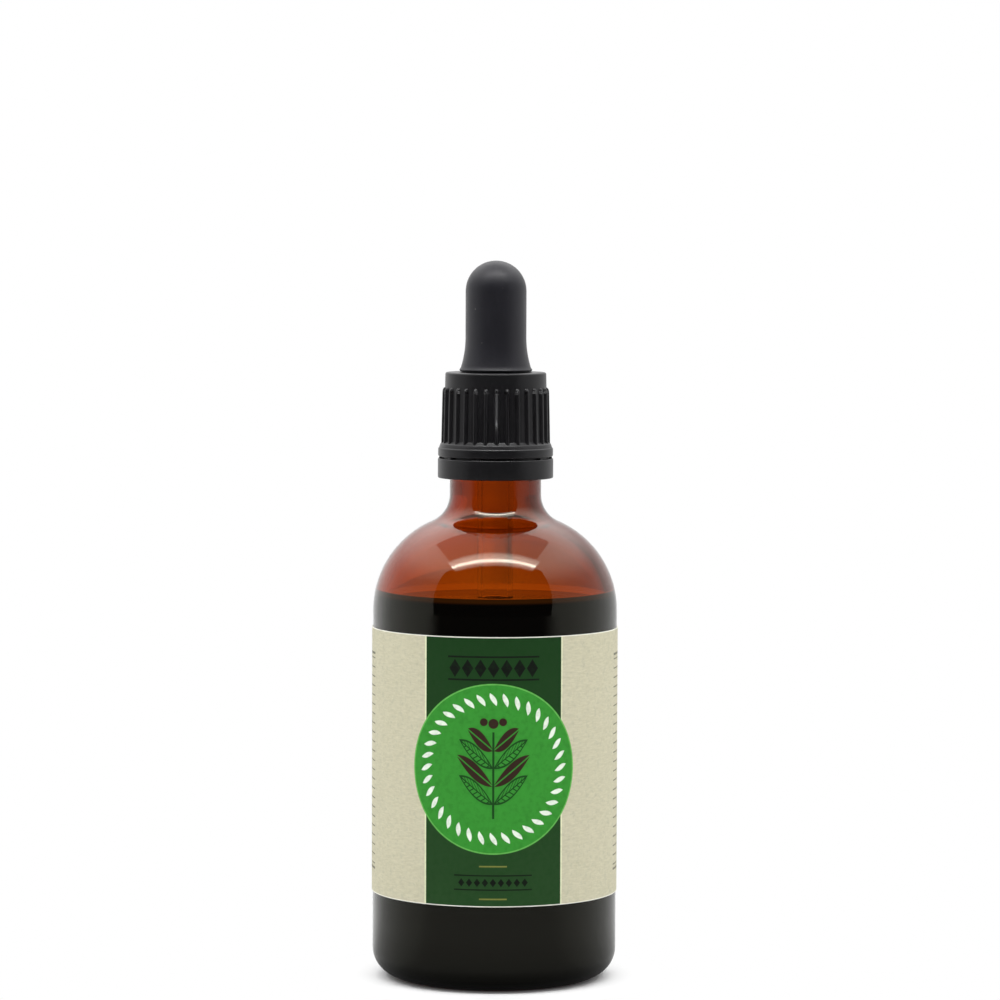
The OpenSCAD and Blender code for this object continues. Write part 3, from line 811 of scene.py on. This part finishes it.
# %% Cut, score and wrap the label
LABEL_R = 23.53
LABEL_LOW_Z = 16.8
LABEL_TOP_Z = 67.8
LABEL_GAP = 4.0
CORNER_R = 2
PAPER = 0.13
SCORES = 144
LABEL_HEIGHT = LABEL_TOP_Z - LABEL_LOW_Z
LABEL_MIDDLE_Z = (LABEL_LOW_Z + LABEL_TOP_Z) / 2

label_width = 2 * math.pi * BODY_R - LABEL_GAP
sheet = bmesh.new()
bmesh.ops.create_grid(sheet, x_segments=1, y_segments=1, size=0.5)
bmesh.ops.scale(sheet, vec=(label_width, LABEL_HEIGHT, 1), verts=sheet.verts)
bmesh.ops.bevel(sheet, geom=sheet.verts[:], offset=CORNER_R, segments=5, affect="VERTICES",
                profile=0.5, material=-1)
for i in range(1, SCORES):
    bmesh.ops.bisect_plane(sheet, geom=sheet.verts[:] + sheet.edges[:] + sheet.faces[:],
                           plane_co=((i / SCORES - 0.5) * label_width, 0, 0), plane_no=(1, 0, 0))
bmesh.ops.solidify(sheet, geom=sheet.faces[:], thickness=PAPER)
for vert in sheet.verts:
    angle = vert.co.x / BODY_R
    out = LABEL_R + abs(vert.co.z)
    vert.co = (out * math.sin(angle), -out * math.cos(angle), LABEL_MIDDLE_Z + vert.co.y)
bmesh.ops.recalc_face_normals(sheet, faces=sheet.faces)
print(f"label: {label_width:.1f} x {LABEL_HEIGHT:.1f} mm, {len(sheet.faces)} faces")

# %% [markdown]
# ## The print
# The print follows the paper, so its place is measured along the paper too: the angle round the
# bottle times the radius gives millimetres across, and the height gives millimetres up. An image
# would be the quick way. Written as sums, each shape is a distance that is negative inside, and
# one soft step turns any distance into ink with a crisp edge. Absolute values mirror a shape and
# remainders repeat it.

# %% Measure the paper in millimetres
CREAM = srgb(209, 204, 179)
CREAM_SHADE = srgb(188, 184, 158)
CUT_EDGE = srgb(236, 235, 224)
STRIPE_TOP = srgb(18, 57, 18)
STRIPE_FOOT = srgb(33, 68, 30)
STRIPE_LINE = srgb(222, 229, 192)
DISC_GREEN = srgb(52, 141, 46)
DISC_RIM = srgb(98, 176, 80)
INK_GREEN = srgb(20, 62, 22)
INK_BROWN = srgb(52, 30, 24)
INK_BLACK = srgb(10, 18, 10)
INK_WHITE = srgb(226, 236, 222)
INK_GOLD = srgb(120, 125, 58)
INK_GREY = srgb(88, 88, 76)
PRINT_SHIFT = 0.2  # the print sits a little to the left

label = material("label_print")
place = label.node("TexCoord", output="Object")
east = label.parts(place)
turned = label.node("Math", {"operation": "ARCTAN2"}, {0: east, 1: -east.other("Y")})
across = turned * BODY_R + PRINT_SHIFT
up = east.other("Z") / MM


def cover(distance, soft=0.07):
    """Ink: 1 where the distance in millimetres is below zero."""
    return label.step(distance, soft, -soft)


def repeat(value, pitch):
    """Folds a length into copies that run from minus to plus half the pitch."""
    return ((value / pitch + 0.5) % 1 - 0.5) * pitch


print("print colours mixed")

# %% [markdown]
# The label has a dark stripe down its middle and a bright disc across the stripe. Both are plain
# shapes: a band is an absolute value less its half width, and a disc is a length less its radius.

# %% Lay out the stripe and the disc
DISC_Z = 42.9
DISC_R = 16.1
STRIPE_HALF = 13.3

middle = up - DISC_Z
from_middle = label.length(across, middle)
stripe = cover(abs(across) - STRIPE_HALF)
stripe_line = cover(abs(abs(across) - (STRIPE_HALF + 0.14)) - 0.15)
disc = cover(from_middle - DISC_R)
disc_rim = cover(abs(from_middle - (DISC_R - 0.1)) - 0.13)
print(f"stripe {2 * STRIPE_HALF} mm wide, disc {2 * DISC_R} mm across")

# %% [markdown]
# A border of white leaves runs round the disc. The angle round the disc's middle, folded into 36
# copies, gives one slanted leaf whose width falls to nothing at both ends.

# %% Draw the border of leaves
BORDER_R = 13.2
BORDER_LEAVES = 36

pitch = 2 * math.pi * BORDER_R / BORDER_LEAVES
round_disc = label.node("Math", {"operation": "ARCTAN2"}, {0: across, 1: middle}) * BORDER_R
along = from_middle - BORDER_R
beside = repeat(round_disc, pitch) + along * 0.5
border = cover(abs(beside) - (0.52 - along * along * 0.36))
print(f"{BORDER_LEAVES} border leaves, {pitch:.2f} mm apart")

# %% [markdown]
# In the disc grows a sprig with berries. Its leaves come in pairs, so only the right half is
# drawn. A slanted ruler finds the height at which each leaf leaves the stem, and the whole number
# of spacings up the stem tells the leaves apart: the odd ones are solid, and the even ones are
# drawn in line.

# %% Draw the sprig
LEAF_LEAN = math.radians(50)
LEAF_SPACING = 3.4
LEAF_LENGTH = 9.2
LEAF_PLUMP = 5.0
VEIN_SPACING = 0.95
STEM_FOOT = -8.4

side = abs(across)
run = side / math.sin(LEAF_LEAN)
leaf_count = (middle - side / math.tan(LEAF_LEAN) - STEM_FOOT) / LEAF_SPACING
row = label.node("Math", {"operation": "FLOOR"}, {0: leaf_count})
off = abs((leaf_count % 1 - 0.5) * (LEAF_SPACING * math.sin(LEAF_LEAN)))
share = run / (LEAF_LENGTH - (row - 1) * (row - 1) * 0.7)
half_width = share * (1 - share) * LEAF_PLUMP
leaf = cover(off - half_width) * cover(abs(row - 1.5) - 1.7)
midrib = cover(off - 0.11, 0.05)
veins = cover(abs(repeat(run - off * 1.2, VEIN_SPACING)) - 0.12, 0.06)
outline = 1 - cover(off - half_width + 0.28)
solid_row = row % 2
leaf_lines = leaf * label.most(label.most(outline, midrib), veins) * (1 - solid_row)
leaf_solid = leaf * (1 - midrib) * solid_row
stem = cover(side - 0.2) * cover(abs(middle + 1.2) - 8.2)
berries = cover(label.least(label.length(across, middle - 8.6) - 0.95,
                            label.length(side - 1.8, middle - 8.9) - 0.75))
print("sprig of 4 pairs of leaves and 3 berries")

# %% [markdown]
# Two rows of lozenges decorate the stripe, a heavy one above the disc and a fine one below it
# between short gilt rules. A lozenge is where two absolute distances, each as a share of its half
# size, add up to less than one.

# %% Draw the rows of lozenges
UPPER_ROW_Z = 61.9
LOWER_ROW_Z = 21.4


def lozenges(rise, pitch, half_across, half_up, half_row):
    """A row of lozenges round the height where rise is 0."""
    share = abs(repeat(across, pitch)) / half_across + abs(rise) / half_up - 1
    return cover(share * half_across) * cover(abs(across) - half_row)


def rules(rise, height, half_thick, half_row):
    """A pair of lines above and below the height where rise is 0."""
    return cover(abs(abs(rise) - height) - half_thick) * cover(abs(across) - half_row)


upper = up - UPPER_ROW_Z
lower = up - LOWER_ROW_Z
dark_ink = label.most(
    label.most(lozenges(upper, pitch=2.45, half_across=1.1, half_up=1.7, half_row=8.57),
               rules(upper, height=2.15, half_thick=0.16, half_row=8.7)),
    label.most(lozenges(lower, pitch=1.5, half_across=0.6, half_up=0.8, half_row=6.75),
               rules(lower, height=1.35, half_thick=0.12, half_row=7.4)))
gilt_ink = rules(lower, height=3.1, half_thick=0.13, half_row=2.6)
print("lozenge rows done")

# %% [markdown]
# Each side of the label carries a block of ruled lines, left for notes, between two thicker rules.
# The block is where the distance past its side and the distance past its top are both below zero.

# %% Rule the side blocks
BLOCK_MIDDLE = 50.0
BLOCK_HALF_ACROSS = 19.4
BLOCK_HALF_UP = 20.7
RULE_SPACING = 1.8

over_middle = up - LABEL_MIDDLE_Z
in_block = cover(abs(side - BLOCK_MIDDLE) - BLOCK_HALF_ACROSS)
thick_rules = cover(abs(abs(over_middle) - BLOCK_HALF_UP) - 0.22)
thin_rules = cover(abs(repeat(over_middle, RULE_SPACING)) - 0.12)
thin_rules = thin_rules * cover(abs(over_middle) - BLOCK_HALF_UP)
grey_ink = in_block * label.most(thick_rules, thin_rules)
print(f"two blocks of about {2 * BLOCK_HALF_UP / RULE_SPACING:.0f} lines")

# %% [markdown]
# Last comes the paper itself: fine mottling, darker flecks of bark, and long pale fibres from a
# noise that is stretched sideways. The same mottling dulls every ink a little, as print on rough
# paper shows its grain. A paler line runs along the top and bottom edges.

# %% Lay the inks on the paper
mottle = label.noise(place, 0.9, 5.0)
fine = label.noise(place, 0.22, 2.0)
stretched = label.node("Mapping", values={"Vector": place, "Scale": (1.0, 1.0, 5.0)})
fibres = label.noise(stretched, 1.4, 3.0)
flecks = label.step(fine * 0.6 + mottle * 0.4, 0.60, 0.72)
stock = label.mix(label.step(mottle * 0.6 + fibres * 0.4, 0.32, 0.68), CREAM_SHADE, CREAM)
stock = label.mix(flecks * 0.25, stock, INK_GREY)

colour = label.mix(grey_ink * 0.8, stock, INK_GREY)
colour = label.mix(stripe_line, colour, STRIPE_LINE)
stripe_colour = label.mix((up - LABEL_LOW_Z) / LABEL_HEIGHT, STRIPE_FOOT, STRIPE_TOP)
colour = label.mix(stripe, colour, stripe_colour)
colour = label.mix(dark_ink, colour, INK_BLACK)
colour = label.mix(gilt_ink, colour, INK_GOLD)
colour = label.mix(disc, colour, DISC_GREEN)
colour = label.mix(disc_rim, colour, DISC_RIM)
colour = label.mix(border, colour, INK_WHITE)
colour = label.mix(label.most(leaf_lines, stem), colour, INK_GREEN)
colour = label.mix(label.most(leaf_solid, berries), colour, INK_BROWN)
colour = label.mix(label.step(mottle, 0.42, 0.75) * 0.22, colour, INK_GREEN)
# a paler line along the top and bottom edges
edge = cover(LABEL_HEIGHT / 2 - 0.16 - abs(over_middle), 0.06)
colour = label.mix(edge, colour, CUT_EDGE)
label.surface(label.node("BsdfPrincipled", values={
    "Base Color": colour, "Roughness": 0.8 + (mottle - 0.5) * 0.2, "Specular IOR Level": 0.2,
    "Normal": label.bump(fine * 0.02 + mottle * 0.02),
}))
make_piece("paper_label", sheet, label.owner, "bottle", "label")

# %% [markdown]
# ## The studio
# Glass and satin black show little colour of their own. What they show is the room, so the room is
# the light: a white tent whose walls brighten towards the back, an opening at the front where the
# camera stands, and a narrow strip light above it. An image of a real room could light it as well,
# but a room written as sums can be fitted to each reflection in the picture. The world shader
# draws the tent by direction. Rays that come straight from the camera see plain white instead, and
# rays that leave through the glass see the white backdrop, which is brighter on the left and above
# and darkest at the far right.

# %% Helpers that give the tent's level by direction
WALLS = 0.55
WALLS_TO_BACK = 0.3
LEFT_BACK = 0.2
OPENING = 0.03
OPENING_WIDTH = 1.545
OPENING_LEFT = 0.155
BACKDROP = 1.54
BACKDROP_RIGHT = 0.56  # what it loses to the right, and again at the far right
BACKDROP_FAR_RIGHT = 0.6


def inside(finish, value):
    """1 where a value is below zero, with a narrow soft edge."""
    return finish.step(value, 0.012, -0.012)


def wall_level(finish, east, north):
    """Light of the tent's walls towards a level direction."""
    return WALLS + north * WALLS_TO_BACK + finish.step(north - east * 0.5, 0.85, 1.1) * LEFT_BACK


def backdrop_level(finish, east):
    """Light of the backdrop as the glass shows it."""
    level = BACKDROP - finish.step(east, -0.12, 0.06) * BACKDROP_RIGHT
    return level - finish.step(east, 0.15, 0.5) * BACKDROP_FAR_RIGHT


print("tent:", WALLS, "at the sides,", WALLS + WALLS_TO_BACK, "at the back")

# %% Light the tent
OPENING_FLARE = 0.6
OPENING_TOP = 2.2
CEILING = 0.9
CEILING_ACROSS = 0.63
CEILING_DEEP = 0.35
TOP_WALLS = 1.5
STRIP_SHOULDER = 4.5
STRIP_CORE = 14.0
STRIP_ACROSS = 0.7
BACKDROP_ABOVE = 0.1


def ridge(value, rise, fall):
    """Up over the first pair of values and down again over the second."""
    return world.step(value, *rise) * world.step(value, *fall)


world = Finish(bpy.data.worlds.new("tent"))
bpy.context.scene.world = world.owner
east = world.parts(world.node("TexCoord", output="Generated"))
north = east.other("Y")
rise = east.other("Z")
front = -north

past_side = abs(east + front * OPENING_LEFT) - front * (OPENING_WIDTH + rise * OPENING_FLARE)
opening = inside(world, past_side) * inside(world, rise - front * OPENING_TOP)
ceiling = (inside(world, abs(east + rise * 0.045) - rise * CEILING_ACROSS)
           * inside(world, abs(front + rise * 0.15) - rise * CEILING_DEEP))
lean = front / rise
strip = (ridge(lean, (0.14, 0.34), (0.6, 0.46)) * STRIP_SHOULDER
         + ridge(lean, (0.335, 0.385), (0.48, 0.4)) * STRIP_CORE)
strip = strip * inside(world, abs(east + rise * 0.03) - rise * STRIP_ACROSS) * inside(world, -rise)
level = wall_level(world, east, north) + world.step(rise + north * 0.15, 0.4, 0.8) * TOP_WALLS
level = level + ceiling * (CEILING - level)
level = level * (1 - opening) + opening * OPENING + strip
path = world.node("LightPath", output="Is Camera Ray")
through = path.other("Is Transmission Ray")
backdrop = backdrop_level(world, east) + world.step(rise, 0.0, 0.06) * BACKDROP_ABOVE
level = level + through * (backdrop - level)
world.surface(world.node("Background", values={
    "Color": WHITE, "Strength": level + path * (1 - level)}))
print("ceiling", CEILING, "strip", STRIP_CORE)

# %% [markdown]
# The opening in front is dark, so the label would be a little dull, and more light from the tent
# would burn out on the glass. A wide, weak lamp in front fills the matt surfaces. It is hidden
# from reflections, as a large diffuser that stands outside the opening is.

# %% Hang the fill lamp
LAMP_AWAY = 1.1
LAMP_UP = 0.75
LAMP_AIM_UP = 0.05

lamp_data = bpy.data.lights.new("fill", "AREA")
lamp_data.shape = "SQUARE"
lamp_data.size = 0.7
lamp_data.energy = 1.2
lamp = bpy.data.objects.new("fill", lamp_data)
lamp.location = (0, -LAMP_AWAY, LAMP_UP)
lamp.rotation_euler = (math.atan2(LAMP_AWAY, LAMP_UP - LAMP_AIM_UP), 0, 0)
lamp.visible_glossy = False
lamp.visible_camera = False
lamp.visible_transmission = False
bpy.context.scene.collection.objects.link(lamp)
print("fill lamp:", lamp_data.energy, "W")

# %% [markdown]
# ## The floor
# The floor is a plain white sheet. Near the bottle it is matt and takes the bottle's shadow.
# Further out it fades to the white of the background, so no horizon shows. Reflections get a floor
# of their own, because it fills the lower half of what the glass mirrors. That floor is painted
# light: a glow with painted shade under the opening, a painted shadow close to the foot, and as
# light as the walls elsewhere. Rays through the glass see the floor glow at the backdrop's level.

# %% Lay the floor
FLOOR_HALF = 3.0
FLOOR_WHITE = (0.85, 0.85, 0.85)
# painted levels of the floor that reflections see: shade under the opening and a shadow near the
# foot
UNDER_OPENING = 0.32
UNDER_OPENING_LOSS = 0.28
PAINTED_FOOT_SHADOW_LOSS = 0.25
FOOT_SHADOW_PAINT_REACH = (0.017, 0.032)  # distances from the axis over which the painted shadow near the foot fades out of the floor in reflections
SHADOW = (0.0175, 0.034)  # and over which the floor that the camera sees turns white

floor_bm = bmesh.new()
bmesh.ops.create_grid(floor_bm, x_segments=1, y_segments=1, size=FLOOR_HALF)
floor_mesh = bpy.data.meshes.new("floor")
floor_bm.to_mesh(floor_mesh)
floor_bm.free()
floor = bpy.data.objects.new("floor", floor_mesh)
bpy.context.scene.collection.objects.link(floor)

paper_floor = material("floor_white")
east = paper_floor.parts(paper_floor.node("TexCoord", output="Object"))
away = paper_floor.length(east, east.other("Y"))
north = east.other("Y") / away
east = east / away
# The floor that reflections see is painted light: the walls' light, painted shade under the opening
# and a painted shadow near the foot.
wedge = paper_floor.step(abs(east - north * OPENING_LEFT) + north * OPENING_WIDTH, 0.3, -0.3)
painted_opening_shade = UNDER_OPENING - paper_floor.step(away, 0.1, 0.6) * UNDER_OPENING_LOSS
painted_floor_light = wall_level(paper_floor, east, north)
painted_floor_light = painted_floor_light + wedge * (painted_opening_shade - painted_floor_light)
painted_foot_shadow = 1 - PAINTED_FOOT_SHADOW_LOSS + paper_floor.step(away, 0.02, 0.09) * PAINTED_FOOT_SHADOW_LOSS
painted_floor_light = painted_floor_light * painted_foot_shadow * paper_floor.step(away, *FOOT_SHADOW_PAINT_REACH)
path = paper_floor.node("LightPath", output="Is Camera Ray")
through = path.other("Is Transmission Ray")
seen = paper_floor.most(path, through)
white = paper_floor.node("Emission", values={
    "Color": 1 + through * (backdrop_level(paper_floor, east) - 1)})
# painted reflection: glossy rays see the floor glow at these painted levels
painted_reflection = paper_floor.node("Emission", values={"Color": painted_floor_light})
matt = paper_floor.node("BsdfDiffuse", values={"Color": FLOOR_WHITE})
look = paper_floor.node("MixShader", values={
    0: seen * paper_floor.step(away, *SHADOW), 1: matt, 2: white})
look = paper_floor.node("MixShader", values={0: path.other("Is Glossy Ray"), 1: look, 2: painted_reflection})
paper_floor.surface(look)
floor_mesh.materials.append(paper_floor.owner)
print(f"floor {2 * FLOOR_HALF} m across")
